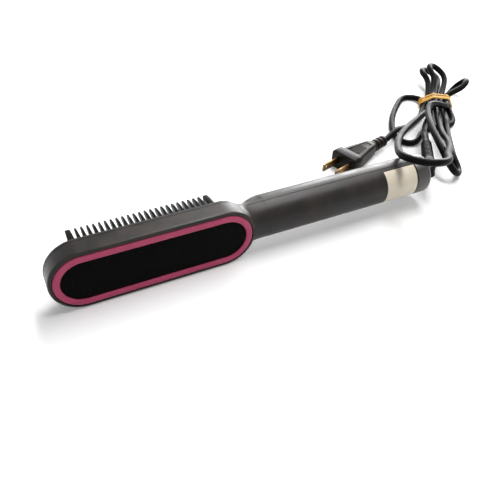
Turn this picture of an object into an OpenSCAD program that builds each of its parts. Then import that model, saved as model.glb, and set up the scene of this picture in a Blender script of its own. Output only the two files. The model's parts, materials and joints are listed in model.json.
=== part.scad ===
// Hair straightening brush with a finned heated head, lying on its side, with its cord tied in a bundle.
// X runs from the head's tip to the cord end, Y from the ringed back to the fins, Z up from the table.
// Drawn in millimetres. Heights inside the brush are measured from the handle's axis.

/* [Brush] */
// Length from the head's tip to the end cap's face
body_l = 285; // [275:1:300]
// Radius of the head's round ends, which is half of the head's height
head_r = 22.1; // [21.6:0.1:23.5]
// Distance between the centres of the head's round ends
head_run = 92.3; // [90:0.1:98]
// Distance from the handle's axis back to the head's lip
head_back = 14.6; // [14.2:0.1:15]
// Radius of the handle
handle_r = 14.8; // [14.4:0.1:15.4]
// Wall thickness of the shells
wall = 2.1; // [1.8:0.1:2.2]
// Distance from the handle's axis back to the joint between the two shells
parting = 2.4; // [2:0.1:3]
// Rounding of the lip round the head's back
lip_edge = 1.6; // [1.2:0.1:1.8]
// Length of the end cap outside the handle
cap_l = 13; // [12:0.5:16]
// Rounding of the end cap's outer edge
cap_edge = 3; // [1:0.1:4]

/* [Trim] */
// Radius of the trim ring's round ends
ring_r = 19.4; // [18.6:0.1:19.6]
// Width of the trim ring
ring_w = 4.5; // [3.5:0.1:5]
// How far the trim ring stands proud of the lip
ring_proud = 0.4; // [0.2:0.1:0.8]
// How far the back panel lies below the lip
panel_drop = 0.4; // [0.2:0.1:0.6]

/* [Fins] */
// Distance between neighbouring fins
fin_pitch = 3.7; // [3.6:0.1:4]
// Number of thin fins in an outer row
fin_count = 23; // [20:1:23]
// Distance from the handle's axis to the fin tips
fin_top = 15; // [13:0.5:17]
// Fin thickness at its root
fin_root_t = 3; // [2.4:0.1:3.1]
// Fin thickness where its hollow sides end
fin_mid_t = 1.8; // [1.5:0.1:2]
// Fin thickness at its tip
fin_tip_t = 1; // [0.8:0.1:1.2]
// Distance from the handle's axis to the middle of an outer row
row_z = 17; // [16.8:0.1:17.2]
// Distance from the handle's axis to the heated fins' tips
hot_fin_top = 9; // [7:0.5:9.5]

/* [Buttons] */
// Radius of a button
button_r = 4.7; // [4:0.1:5]
// Travel of a button
button_travel = 0.8; // [0.5:0.1:0.8]
// Distance between the two buttons
button_pitch = 16; // [14:0.5:20]

/* [Cord] */
// Cord diameter
cord_d = 5.6; // [5:0.1:5.7]
// Length of the strain relief from its pivot
boot_l = 50; // [44:1:54]
// Angle of the strain relief to the handle
boot_tilt = 53; // [45:1:60]
// Width of the rubber band
band_w = 6; // [4:0.5:8]
// Distance between the middles of the plug's blades
blade_pitch = 12.7; // [12.5:0.1:13]
// Length of the plug's blades
blade_l = 18; // [16:0.5:19]

/* [Hidden] */
$fn = 96;

// Clearances
fit_gap = 0.1;      // round a piece that drops into its seat
run_gap = 0.05;     // round a shaft that turns in its bore
slide_gap = 0.25;   // round a button in its hole
rest_gap = 0.3;     // between faces that pass each other
seam_gap = 0.45;    // the dark line between the handle and its end cap
over = 1;           // how far a cut runs past the face that it opens

// Swivel at the cord end
pivot_out = 9.4;
cheek_r = 5;
cheek_t = 2.2;
cheek_gap = 5.2;
collar_r = 7;
collar_t = 2;
neck_r = 5.5;
shaft_r = 4;
shaft_over = 1.4;
pin_r = 1.5;
knuckle_roll = 6;

// Places along the brush
tip_x = -(body_l + pivot_out + cheek_r) / 2;
head_x = tip_x + head_r + head_run / 2;
head_end_x = head_x + head_run / 2;
cap_face_x = tip_x + body_l;
cap_x = cap_face_x - cap_l;
shell_end_x = cap_x - seam_gap;
pivot_x = cap_face_x + pivot_out;
axis_z = head_r;

// Head
cavity_r = head_r - wall;
pocket_depth = 1.2;
pocket_y = -head_back + pocket_depth;
floor_y = pocket_y + wall;
ring_bevel = 0.6;
rim_y = 0.2;
plate_t = 1.4;
plate_y = rim_y - plate_t;
window_l = 96;
window_x = head_x - 2;
window_z = 13.6;

// Fins
comb_shift = -1.8;
fin_mid_at = 0.4;      // share of a fin's height where its hollow sides end
fin_lean = 0.4;
end_fin_out = 4.7;
end_fin_more_t = 2;
row_root_w = 6.2;
row_mid_w = 5.2;
row_mid_y = 8;
row_tip_w = 3;
row_tip_h = 1;

// Neck, measured from the middle of the head's inner round end
neck_from = 3.8;
neck_shoulder = 10.5;
neck_rise_from = 11;
neck_waist = 23;
neck_to = 33;
neck_rings = 15;
neck_sides = 40;
neck_inset = 0.1;
neck_front_power = 3.4;
neck_back_power = 2.3;
neck_end_r = handle_r - neck_inset;
neck_half = sqrt(head_r * head_r - neck_shoulder * neck_shoulder);
channel_r = 5;
channel_y = -7;
channel_from = 1;
bore_from_x = head_end_x + neck_to + 2;
bore_r = handle_r - wall;

// Screws
screw_r = 1.1;
screw_head_r = 2.3;
screw_head_t = 1.1;
head_screw_x = head_run / 2 + 10.9;
head_screw_l = 6;      // below the head pocket's floor
head_screw_z = 6;
boss_r = 2.6;
screw_bore = 7;        // depth of a screw's hole in its boss

// Heating stack below the comb frame
hot_plate_t = 1.6;
hot_plate_half = 15.5;
hot_rows = 5;
hot_row_pitch = 5;
hot_fin_w = 3.2;
heater_t = 2.6;
heater_l = 28;
heater_w = 20;
heater_gap = 8;
clamp_t = 1;
clamp_l = 72;
clamp_over = 1;
sheet_t = 0.6;
sheet_over = 2;
rib_t = 1.6;
rib_out = 32;
hot_plate_over = 2;
heater_y = plate_y - hot_plate_t;
clamp_y = heater_y - heater_t;
sheet_y = clamp_y - clamp_t;
rib_top_y = sheet_y - sheet_t;
fuse_r = 2;
fuse_l = 10;
fuse_out = 12;
wire_d = 1.6;

// Controls
board_x = bore_from_x + 4;
board_l = 70;
board_w = 2 * bore_r - 3.4;
board_t = 1.6;
board_y = 2;
board_top_y = board_y + board_t;
board_boss_z = 7;
board_screw_r = 1;
board_screw_inset = 4;
board_screw_l = 5;
board_screw_head_r = 2;
switch_w = 6;
switch_h = 3.4;
switch_bore = 2.2;
switch_top_y = board_top_y + switch_h;
power_x = board_x + 11;
temp_x = power_x + button_pitch;
button_top_y = handle_r + 0.2;
flange_r = button_r + 1.1;
flange_t = 1;
flange_y = sqrt(bore_r * bore_r - flange_r * flange_r) - rest_gap;
plunger_r = 1.7;
plunger_up = button_travel + 0.1;
lens_l = 12;
lens_w = 2.2;
lens_x = temp_x + 18;
led_h = 0.8;
led_w = 1.6;
led_pitch = 3.6;
button_edge = 0.5;

// End cap and contacts
spigot_l = 5;
spigot_r = bore_r - fit_gap;
cap_bore_r = spigot_r - wall;
cap_wall = 2.4;
cap_inner_x = cap_face_x - cap_wall;
retainer_r = 7.5;
retainer_t = 1.4;
retainer_x = cap_inner_x - fit_gap - retainer_t;
contact_r = 5.4;
contact_w = 2;
contact_pitch = 3.6;
contact_x = retainer_x - 7.7;
spring_t = 0.3;
carrier_bore_r = contact_r + rest_gap + spring_t;
carrier_x = contact_x - 1;
carrier_l = 7.6;
spring_tail = 3;
spring_turn = 60;
spring_w = 1.6;

// Strain relief
boot_eye_r = 4.6;
boot_eye_t = cheek_gap - 0.2;
boot_collar_r = 5.1;
boot_collar_from = 5.6;
boot_collar_l = 8.4;
rib_pitch = 2.6;
rib_w = 1.7;
rib_first_r = 4.9;
rib_last_r = 4.4;
boot_core_r = 3.7;
boot_bare_l = 4;       // smooth end beyond the last rib
boot_dir = [cos(boot_tilt), sin(boot_tilt) * cos(knuckle_roll), -sin(boot_tilt) * sin(knuckle_roll)];
boot_end = [pivot_x, 0, axis_z] + boot_l * boot_dir;

// Cord bundle: u runs along the tied strands, v across them, from the band's middle
hank_x = 250;
hank_y = 109;
hank_turn = 57;
strand_pitch = 6.1;
low_z = 4;
high_z = 9.3;
band_half = 8;
leg_rings = 8;         // even
fold_rings = 7;

// The lead's and the tail's own points, as [u, v, z]
lead_points = [[-86, -24.3, 16.3], [-76, -23, 12.5], [-66, -21.5, 9.5], [-56, -19.5, 9], [-46, -17, 9],
    [-37, -14.5, 6.5], [-28, -12, 5], [-20, -10.5, 4], [-8, -9.15, 4], [0, -9.15, 4]];
tail_points = [[0, 9.15, 4], [-8, 9.15, 4], [-17, 10.4, 3.2], [-26, 10.8, 2.8], [-35, 8, 2.8],
    [-41, 1, 2.8], [-45, -8, 2.8], [-51, -17, 2.8], [-60, -22.5, 2.8], [-70, -26, 2.8], [-77, -32, 2.8],
    [-76, -40, 2.8], [-68, -46, 2.8], [-54, -48, 2.8], [-38, -47.5, 2.8], [-20, -44.5, 2.8], [-5, -40.5, 2.8],
    [6, -37, 2.8], [12.5, -32.5, 2.8], [14.5, -26, 2.8], [13, -20, 3.2], [9, -16.4, 3.8], [3.5, -15.25, 4],
    [-8, -15.4, 4], [-24, -20, 2.8], [-36, -26, 2.8], [-48, -33, 3.2], [-57, -39, 6.2], [-66, -45.5, 9.2],
    [-73, -49.5, 9.2]];

// Rubber band
band_t = 1;
band_slack = 0.15;

// Plug, from the cord end of its boot towards the blades
plug_end = [153.9, 68.8];
plug_turn = 198;
plug_boot_l = 18.5;
plug_ribs = 4;
plug_rib_r = 5.3;
plug_rib_w = 3;
plug_core_r = 4.3;
plug_body_l = 29;
plug_neck_w = 9.6;
plug_flange_l = 8.5;
plug_flange_w = 25.5;
plug_flange_h = 16.2;
plug_flange_edge = 3.5;
plug_step = 2.2;       // from the flange's edge in to the body
plug_slice_t = 0.4;
blade_w = 6.3;
blade_t = 1.5;
blade_hole_r = 1.6;
blade_hole_in = 4;
plug_z = plug_flange_h / 2;

function unit(v) = v / norm(v);
function ease(t) = let(c = min(max(t, 0), 1)) c * c * (3 - 2 * c);
function last(list) = list[len(list) - 1];

// Directions of a path at its points
function tangents(path) = [for (i = [0:len(path) - 1])
    i == 0 ? unit(path[1] - path[0])
    : i == len(path) - 1 ? unit(path[i] - path[i - 1])
    : unit(unit(path[i + 1] - path[i]) + unit(path[i] - path[i - 1]))];

// Vectors square to a path's directions, carried along it without twist
function across(n, t) = unit(n - (n * t) * t);
function side_vectors(t) = [for (i = 0, n = across(abs(t[0].z) < 0.9 ? [0, 0, 1] : [1, 0, 0], t[0]);
    i < len(t); i = i + 1, n = i < len(t) ? across(n, t[i]) : n) n];

// A solid skinned over rings of points, which turn right-handed about the way that it runs
module skin(rings) {
    sides = len(rings[0]);
    top = (len(rings) - 1) * sides;
    points = [for (ring = rings) each ring];
    walls = [for (i = [0:len(rings) - 2]) for (k = [0:sides - 1])
        let(a = i * sides + k, b = i * sides + (k + 1) % sides)
        each [[a, a + sides, b + sides], [a, b + sides, b]]];
    first_end = [for (k = [1:sides - 2]) [0, k, k + 1]];
    last_end = [for (k = [1:sides - 2]) [top, top + k + 1, top + k]];
    polyhedron(points, concat(walls, first_end, last_end));
}

// A round tube along a path
module tube(path, d, sides) {
    t = tangents(path);
    n = side_vectors(t);
    skin([for (i = [0:len(path) - 1]) [for (k = [0:sides - 1]) let(a = 360 * k / sides)
        path[i] + d / 2 * (cos(a) * n[i] + sin(a) * cross(t[i], n[i]))]]);
}

// Places and extrusions
module on_axis() {
    translate([0, 0, axis_z]) children();
}

module along_y(y0, y1) {
    translate([0, y1, 0]) rotate([90, 0, 0]) linear_extrude(y1 - y0) children();
}

module along_x(x0, x1) {
    translate([x0, 0, 0]) rotate([90, 0, 90]) linear_extrude(x1 - x0) children();
}

module x_cylinder(x0, x1, r) {
    translate([x0, 0, 0]) rotate([0, 90, 0]) cylinder(h = x1 - x0, r = r);
}

module y_cylinder(y0, y1, r) {
    translate([0, y1, 0]) rotate([90, 0, 0]) cylinder(h = y1 - y0, r = r);
}

// The head's outline, a rectangle between two round ends
module stadium(r, run) {
    square([run, 2 * r], center = true);
    for (end = [-1, 1]) translate([end * run / 2, 0]) circle(r);
}

module head_outline(r) {
    translate([head_x, 0]) stadium(r, head_run);
}

// Carries a profile of radius and depth round the head's outline
module head_sweep() {
    for (end = [-1, 1])
        translate([head_x + end * head_run / 2, 0, 0]) rotate([-90, 0, 0]) rotate([0, 0, -90 * end])
            rotate_extrude(angle = 180) children();
    for (side = [0, 1])
        mirror([0, 0, side]) translate([head_x - head_run / 2, 0, 0]) rotate([0, 90, 0])
            linear_extrude(head_run) children();
}

// A solid profile with its first outer corner rounded
module round_profile(r, y0, y1, edge) {
    translate([0, y0]) square([r - edge, y1 - y0]);
    translate([0, y0 + edge]) square([r, y1 - y0 - edge]);
    translate([r - edge, y0 + edge]) circle(edge);
}

// Neck between the head and the handle
function neck_width(s) = s < neck_shoulder ? neck_half
    : neck_end_r + (neck_half - neck_end_r) * pow(max(0, (neck_waist - s) / (neck_waist - neck_shoulder)), 2);
function neck_front(s) = rim_y - neck_inset
    + (neck_end_r - rim_y + neck_inset) * ease((s - neck_rise_from) / (neck_to - neck_rise_from));
function neck_back(s) = head_back - neck_inset + (neck_end_r - head_back + neck_inset) * ease(s / neck_to);
function neck_power(s, power) = 2 + (power - 2) * ease((neck_to - s) / (neck_to - neck_shoulder));
function bulge(c, power) = sign(c) * pow(abs(c), 2 / power);

module neck() {
    skin([for (i = [0:neck_rings - 1]) let(s = neck_from + i * (neck_to - neck_from) / (neck_rings - 1))
        [for (k = [0:neck_sides - 1])
            let(a = 360 * (k + 0.5) / neck_sides, front = cos(a) > 0,
                p = neck_power(s, front ? neck_front_power : neck_back_power))
            [head_end_x + s, bulge(cos(a), p) * (front ? neck_front(s) : neck_back(s)),
             bulge(sin(a), p) * neck_width(s)]]]);
}

// The half of space behind or in front of the joint between the shells
module behind_parting() {
    translate([-2 * body_l, -parting - 4 * head_r, -2 * head_r]) cube([4 * body_l, 4 * head_r, 4 * head_r]);
}

module handle_bar() {
    x_cylinder(head_end_x + neck_to - seam_gap, shell_end_x, handle_r);
}

module inner_space() {
    x_cylinder(bore_from_x, shell_end_x + over, bore_r);
    translate([0, channel_y, 0]) x_cylinder(head_end_x + channel_from, bore_from_x + over, channel_r);
}

module at_head_screws() {
    for (x = [-1, 1]) for (z = [-1, 1])
        translate([head_x + x * head_screw_x, 0, z * head_screw_z]) children();
}

module at_board_screws() {
    translate([board_x + board_screw_inset, 0, board_boss_z]) children();
    translate([board_x + board_l - board_screw_inset, 0, -board_boss_z]) children();
}

module back_shell() color("#38312d") on_axis() {
    difference() {
        intersection() {
            union() {
                head_sweep() round_profile(head_r, -head_back, -parting + over, lip_edge);
                neck();
                handle_bar();
            }
            behind_parting();
        }
        along_y(-head_back - over, pocket_y) head_outline(ring_r + fit_gap);
        along_y(floor_y, over) head_outline(cavity_r);
        inner_space();
        at_head_screws() {
            y_cylinder(pocket_y - over, floor_y + over, screw_r + fit_gap);
            y_cylinder(pocket_y - over, pocket_y + screw_head_t + fit_gap, screw_head_r + fit_gap);
        }
    }
    for (x = [-rib_out, 0, rib_out])
        translate([head_x + x - rib_t / 2, floor_y, -heater_w / 2]) cube([rib_t, rib_top_y - floor_y, heater_w]);
    at_board_screws() difference() {
        y_cylinder(-sqrt(bore_r * bore_r - board_boss_z * board_boss_z) - run_gap, board_y, boss_r);
        y_cylinder(board_y - screw_bore, board_y + over, board_screw_r + run_gap);
    }
}

module front_shell() color("#3d3632") on_axis() difference() {
    union() {
        along_y(-parting, rim_y) head_outline(head_r);
        neck();
        handle_bar();
    }
    behind_parting();
    along_y(-parting - over, fin_top) head_outline(cavity_r + fit_gap);
    inner_space();
    for (x = [power_x, temp_x]) translate([x, 0, 0]) y_cylinder(0, handle_r + over, button_r + slide_gap);
    along_y(0, handle_r + over) translate([lens_x, 0]) stadium(lens_w / 2 + fit_gap, lens_l - lens_w);
}

// One fin's outline, hollow-sided at the root and leaning towards its rounded tip
module fin(more_t, top) {
    mid_y = plate_y + fin_mid_at * (top - plate_y);
    mid = (fin_mid_t + more_t) / 2;
    tip = (fin_tip_t + more_t) / 2;
    root = (fin_root_t + more_t) / 2;
    polygon([[-root, plate_y], [root, plate_y], [mid - fin_mid_at * fin_lean, mid_y], [tip - fin_lean, top - tip],
        [-tip - fin_lean, top - tip], [-mid - fin_mid_at * fin_lean, mid_y]]);
    translate([-fin_lean, top - tip]) circle(tip);
}

module fin_comb(top) {
    for (i = [0:fin_count - 1])
        translate([head_x + comb_shift + (i - (fin_count - 1) / 2) * fin_pitch, 0]) fin(0, top);
}

module end_fins() {
    for (end = [-1, 1])
        translate([head_x + comb_shift + end * ((fin_count - 1) / 2 * fin_pitch + end_fin_out), 0])
            fin(end_fin_more_t, fin_top);
}

module comb_frame() color("#1d1a1a") on_axis() {
    difference() {
        along_y(plate_y, rim_y) head_outline(cavity_r);
        along_y(plate_y - over, rim_y + over) translate([window_x, 0]) square([window_l, 2 * window_z], center = true);
    }
    for (side = [0, 1]) mirror([0, 0, side]) intersection() {
        translate([0, 0, window_z + fit_gap]) linear_extrude(cavity_r - window_z - 2 * rest_gap) {
            fin_comb(fin_top);
            end_fins();
        }
        along_x(head_x - head_run, head_x + head_run) translate([0, row_z]) rotate(-90) row_outline();
    }
    at_head_screws() difference() {
        y_cylinder(floor_y, plate_y, boss_r);
        y_cylinder(floor_y - over, floor_y + screw_bore, screw_r + run_gap);
    }
}

// An outer row seen along the brush, wide at the root and narrow at the rounded tip
module row_outline() {
    root = row_root_w / 2;
    mid = row_mid_w / 2;
    tip = row_tip_w / 2;
    polygon([[-root, plate_y], [root, plate_y], [mid, row_mid_y], [tip, fin_top - row_tip_h], [0, fin_top],
        [-tip, fin_top - row_tip_h], [-mid, row_mid_y]]);
}

module heating_plate() color("#9b9a97") on_axis() {
    along_y(plate_y - hot_plate_t, plate_y) translate([window_x, 0])
        square([window_l + 2 * hot_plate_over, 2 * hot_plate_half], center = true);
    intersection() {
        translate([0, 0, over - window_z]) linear_extrude(2 * (window_z - over)) fin_comb(hot_fin_top);
        along_x(head_x - head_run, head_x + head_run) for (i = [0:hot_rows - 1])
            translate([0, (i - (hot_rows - 1) / 2) * hot_row_pitch]) rotate(-90) hot_row_outline();
    }
}

module hot_row_outline() {
    translate([-hot_fin_w / 2, plate_y - rest_gap]) square([hot_fin_w, hot_fin_top - plate_y - hot_fin_w / 2 + rest_gap]);
    translate([0, hot_fin_top - hot_fin_w / 2]) circle(hot_fin_w / 2);
}

module ptc_heaters() color("#d8d2c4") on_axis() for (side = [-1, 1])
    translate([window_x + side * (heater_l + heater_gap) / 2 - heater_l / 2, clamp_y, -heater_w / 2])
        cube([heater_l, heater_t, heater_w]);

// A plate below the heaters, larger than them by so much on each side
module stack_plate(y, t, more) {
    translate([window_x - clamp_l / 2 - more, y, -heater_w / 2 - clamp_over - more])
        cube([clamp_l + 2 * more, t, heater_w + 2 * (clamp_over + more)]);
}

module heater_clamp() color("#a9abad") on_axis() stack_plate(sheet_y, clamp_t, 0);
module insulator_sheet() color("#c9b98c") on_axis() stack_plate(rib_top_y, sheet_t, sheet_over - clamp_over);

module thermal_fuse() color("#b9b4a6") on_axis()
    translate([head_x + fuse_out, rib_top_y - fuse_r, 0]) x_cylinder(0, fuse_l, fuse_r);

module trim_ring() color("#9c3f5b") on_axis() {
    face_y = -head_back - ring_proud;
    head_sweep() polygon([[ring_r - ring_w, face_y], [ring_r - ring_bevel, face_y], [ring_r, face_y + ring_bevel],
        [ring_r, pocket_y], [ring_r - ring_w, pocket_y]]);
}

module back_panel() color("#191718") on_axis()
    along_y(panel_drop - head_back, pocket_y) head_outline(ring_r - ring_w - fit_gap);

module indicator_lens() color("#c7dcd6") on_axis()
    along_y(board_top_y + led_h + rest_gap, handle_r - fit_gap) translate([lens_x, 0]) stadium(lens_w / 2, lens_l - lens_w);

module control_board() color("#2f6b45") on_axis() difference() {
    translate([board_x, board_y, -board_w / 2]) cube([board_l, board_t, board_w]);
    at_board_screws() y_cylinder(board_y - over, board_top_y + over, board_screw_r + fit_gap);
}

module tact_switches() color("#4c4c4e") on_axis() for (x = [power_x, temp_x]) translate([x, 0, 0]) difference() {
    translate([-switch_w / 2, board_top_y, -switch_w / 2]) cube([switch_w, switch_h, switch_w]);
    y_cylinder(switch_top_y - switch_bore, switch_top_y + over, plunger_r + run_gap);
}

module status_leds() color("#e6e2d2") on_axis() for (i = [-1, 0, 1])
    translate([lens_x + led_pitch * i - led_w / 2, board_top_y, -led_w / 4]) cube([led_w, led_h, led_w / 2]);

module housing_screws() color("#8f9194") on_axis() at_head_screws() {
    y_cylinder(pocket_y + fit_gap, pocket_y + fit_gap + screw_head_t, screw_head_r);
    y_cylinder(pocket_y + fit_gap + screw_head_t, floor_y + head_screw_l, screw_r);
}

module board_screws() color("#8f9194") on_axis() at_board_screws() {
    y_cylinder(board_top_y, board_top_y + screw_head_t, board_screw_head_r);
    y_cylinder(board_y - board_screw_l, board_top_y, board_screw_r);
}

// Wires in the neck, from the heaters' ends to the board
module heater_leads() color("#b43a2e") on_axis() for (side = [-1, 1])
    tube([[window_x + heater_l + 4, clamp_y + 1.3, 3 * side], [window_x + heater_l + 7, clamp_y + 1.3, 3 * side],
          [head_end_x + 4, -8.4, 2.5 * side], [head_end_x + 14, -8.4, 2 * side], [head_end_x + 24, -8, 2 * side],
          [bore_from_x, -7, 2 * side], [board_x - 1, -5, 2.4 * side], [board_x + 2, -2, 3 * side],
          [board_x + 3, 0, 3 * side], [board_x + 3, board_y, 3 * side]], wire_d, 8);

// Wires in the handle, from the board to the contact springs
module mains_leads() color("#7a4a2a") on_axis() for (side = [-1, 1])
    tube([[board_x + board_l - 10, board_y, 2.4 * side], [board_x + board_l - 10, 0, 2.4 * side],
          [board_x + board_l - 8, -3, 2.6 * side], [board_x + board_l, -5, 3 * side],
          [cap_x - 20, -5, 4 * side], [cap_x - 9, -2.5, 5.2 * side],
          [carrier_x - spring_tail - 3, 0, (contact_r + rest_gap + spring_t / 2) * side],
          [carrier_x - spring_tail, 0, (contact_r + rest_gap + spring_t / 2) * side]], wire_d, 8);

module end_cap() color("#3d3632") on_axis() difference() {
    union() {
        translate([cap_face_x, 0, 0]) rotate([0, -90, 0]) rotate_extrude() round_profile(handle_r, 0, cap_l, cap_edge);
        x_cylinder(cap_x - spigot_l, cap_x + over, spigot_r);
    }
    x_cylinder(cap_x - spigot_l - over, cap_inner_x, cap_bore_r);
    x_cylinder(cap_inner_x - over, cap_face_x + over, neck_r + run_gap);
}

module contact_carrier() color("#d9d4c6") on_axis() difference() {
    x_cylinder(carrier_x, carrier_x + carrier_l, cap_bore_r - fit_gap);
    x_cylinder(carrier_x - over, carrier_x + carrier_l + over, carrier_bore_r + fit_gap / 2);
}

// A leaf against each contact ring, with a tail for its wire
module contact_springs() color("#c79a4b") on_axis() for (i = [0, 1]) rotate([180 * i, 0, 0]) {
    translate([contact_x + i * contact_pitch, 0, 0]) rotate([0, 90, 0]) rotate([0, 0, 180 - spring_turn / 2])
        rotate_extrude(angle = spring_turn) translate([carrier_bore_r - spring_t, 0]) square([spring_t, contact_w]);
    translate([carrier_x - spring_tail, -spring_w / 2, carrier_bore_r - spring_t])
        cube([contact_x + i * contact_pitch - carrier_x + spring_tail + rest_gap, spring_w, spring_t * 0.9]);
}

// A cap with a retaining flange and a stem above its switch
module button(x) {
    on_axis() translate([x, 0, 0]) {
        y_cylinder(flange_y - flange_t, flange_y, flange_r);
        y_cylinder(flange_y - flange_t, button_top_y - button_edge, button_r);
        translate([0, button_top_y - button_edge, 0]) rotate([-90, 0, 0])
            cylinder(h = button_edge, r1 = button_r, r2 = button_r - button_edge);
        y_cylinder(switch_top_y + plunger_up, flange_y - flange_t + fit_gap, plunger_r);
    }
}

module plunger(x) {
    on_axis() translate([x, 0, 0]) y_cylinder(switch_top_y - 1, switch_top_y + plunger_up, plunger_r);
}

module power_button() color("#a34a64") button(power_x);
module power_plunger() color("#e9e6df") plunger(power_x);
module temp_button() color("#4a4441") button(temp_x);
module temp_plunger() color("#e9e6df") plunger(temp_x);

module knuckle_frame() {
    translate([pivot_x, 0, axis_z]) rotate([-knuckle_roll, 0, 0]) children();
}

// Turned shaft and collar with a two-cheeked fork for the strain relief
module swivel_knuckle() color("#2b2726") {
    on_axis() {
        x_cylinder(contact_x - shaft_over, retainer_x + retainer_t, shaft_r);
        x_cylinder(retainer_x + retainer_t, cap_face_x + rest_gap + fit_gap, neck_r);
        x_cylinder(cap_face_x + rest_gap, cap_face_x + rest_gap + collar_t, collar_r);
    }
    knuckle_frame() for (side = [-1, 1])
        translate([0, 0, side * (cheek_gap + cheek_t) / 2]) difference() {
            translate([0, 0, -cheek_t / 2]) linear_extrude(cheek_t) {
                translate([-pivot_out + collar_t, -cheek_r])
                    square([pivot_out - collar_t, 2 * cheek_r]);
                circle(cheek_r);
            }
            cylinder(h = cheek_t + 2 * over, r = pin_r + 0.02, center = true);
        }
}

module swivel_retainer() color("#8f9194") on_axis() difference() {
    x_cylinder(retainer_x, retainer_x + retainer_t, retainer_r);
    x_cylinder(retainer_x - over, retainer_x + retainer_t + over, shaft_r + run_gap);
}

module contact_rings() color("#c79a4b") on_axis() for (i = [0, 1]) difference() {
    x_cylinder(contact_x + i * contact_pitch, contact_x + i * contact_pitch + contact_w, contact_r);
    x_cylinder(contact_x + i * contact_pitch - over, contact_x + i * contact_pitch + contact_w + over, shaft_r + run_gap);
}

module pivot_pin() color("#a9abad") knuckle_frame()
    cylinder(h = cheek_gap + 2 * cheek_t, r = pin_r, center = true);

// Eye on the pin, smooth collar and close ribs towards the cord
module strain_relief() color("#211f1f") knuckle_frame() rotate([0, 0, boot_tilt]) {
    rib_from = boot_collar_from + boot_collar_l;
    rib_count = floor((boot_l - boot_bare_l - rib_from) / rib_pitch);
    difference() {
        translate([0, 0, -boot_eye_t / 2]) linear_extrude(boot_eye_t) {
            circle(boot_eye_r);
            translate([0, -boot_eye_r]) square([boot_collar_from + rest_gap, 2 * boot_eye_r]);
        }
        cylinder(h = boot_eye_t + 2 * over, r = pin_r + run_gap, center = true);
    }
    x_cylinder(boot_collar_from, rib_from, boot_collar_r);
    x_cylinder(rib_from - over, boot_l, boot_core_r);
    for (i = [0:rib_count - 1])
        x_cylinder(rib_from + (i + 1) * rib_pitch - rib_w, rib_from + (i + 1) * rib_pitch,
                   rib_first_r + (rib_last_r - rib_first_r) * i / (rib_count - 1));
}

// Cord bundle
function on_table(p) = [hank_x + p.x * cos(hank_turn) + p.y * sin(hank_turn),
    hank_y + p.x * sin(hank_turn) - p.y * cos(hank_turn), p.z];

// Strands under the band: a low layer of five and a high layer of three
function low(i) = [(i - 2.5) * strand_pitch, low_z];
function high(i) = [(i - 2) * strand_pitch, high_z];

// A curve that leaves one point and reaches another in given directions
function bend(from, to, leave, arrive, steps) = [for (i = [0:steps]) let(t = i / steps, a = ease(t))
    from * (1 - a) + to * a + leave * t * (1 - t) * (1 - t) - arrive * t * t * (1 - t)];

// One leg of a loop, from its strand under the band to one end of its fold, through a place on its way if given
function leg(from, way, to, arrive, pull, via) =
    is_undef(via) ? bend(from, to, pull[0] * way, pull[1] * arrive, leg_rings)
    : let(on = unit(via[1]), first = bend(from, via[0], pull[0] * way, pull[2] * on, leg_rings / 2),
          second = bend(via[0], to, pull[3] * on, pull[1] * arrive, leg_rings / 2))
      concat(first, [for (i = [1:len(second) - 1]) second[i]]);

// A loop: out along one leg, round its fold and back along the other
function loop(side, strand_in, strand_out, middle, span, head, pull_in, pull_out, depth = 1,
              via_in = undef, via_out = undef) =
    let(way = [side, 0, 0], out = unit(head - (head * span) / (span * span) * span),
        there = leg([side * band_half, strand_in.x, strand_in.y], way, middle + span, out, pull_in, via_in),
        back = leg([side * band_half, strand_out.x, strand_out.y], way, middle - span, out, pull_out, via_out))
    concat(there,
           [for (i = [1:fold_rings]) let(a = 180 * i / (fold_rings + 1))
                middle + cos(a) * span + depth * norm(span) * sin(a) * out],
           [for (i = [len(back) - 1:-1:0]) back[i]]);

hank_path = [for (p = concat([[0, low(1).x, low_z]],
    loop(side = 1, strand_in = low(1), strand_out = low(2), middle = [54, -3, 9.5],
         span = [-7.5, -7.5, 3.6], head = [1, 0, 0], pull_in = [40, 29], pull_out = [47, 29]),
    [[0, low(2).x, low_z]],
    loop(side = -1, strand_in = low(2), strand_out = high(1), middle = [-163, -39, 43],
         span = [0, 18, 0], head = [-1, 0, 0.3], pull_in = [15, 41, 27, 69], pull_out = [42, 230],
         depth = 1.2, via_in = [[-82, -7.5, 15.5], [-0.8, 0.2, 0.1]]),
    [[0, high(1).x, high_z]],
    loop(side = 1, strand_in = high(1), strand_out = low(3), middle = [46.5, 1.5, 16.5],
         span = [-7.5, -7.5, 3.8], head = [1, 0, 0.1], pull_in = [37, 30], pull_out = [40, 30]),
    [[0, low(3).x, low_z]],
    loop(side = -1, strand_in = low(3), strand_out = high(3), middle = [-117, -4.7, 12],
         span = [8.8, 5.3, -4.8], head = [-1, 0, -0.1], pull_in = [47, 21, 33, 25], pull_out = [29, 66, 34, 52],
         via_in = [[-46, 0.5, 8.8], [-1, 0, -0.2]], via_out = [[-35, -16, 20], [-1, -0.4, -0.1]]),
    [[0, high(3).x, high_z]],
    loop(side = 1, strand_in = high(3), strand_out = low(4), middle = [26, 20, 11],
         span = [-9, 2.7, 6.4], head = [0.8, 0.4, 0.2], pull_in = [10.5, 8.5], pull_out = [11.5, 19]),
    [[0, low(4).x, low_z]]
    )) on_table(p)];

// Least distance between stretches of a path that are more than a few diameters apart along it
function resample(path, parts) = concat([for (i = [0:len(path) - 2]) for (k = [0:parts - 1])
    path[i] + (path[i + 1] - path[i]) * k / parts], [last(path)]);
function lengths_to(path) = [for (i = 0, s = 0; i < len(path);
    i = i + 1, s = i < len(path) ? s + norm(path[i] - path[i - 1]) : s) s];
function least_gap(path, d) = let(p = resample(path, 5), s = lengths_to(p))
    min([for (i = [0:len(p) - 2]) for (j = [i + 1:len(p) - 1]) if (s[j] - s[i] > 3 * d) norm(p[i] - p[j])]) - d;

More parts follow.
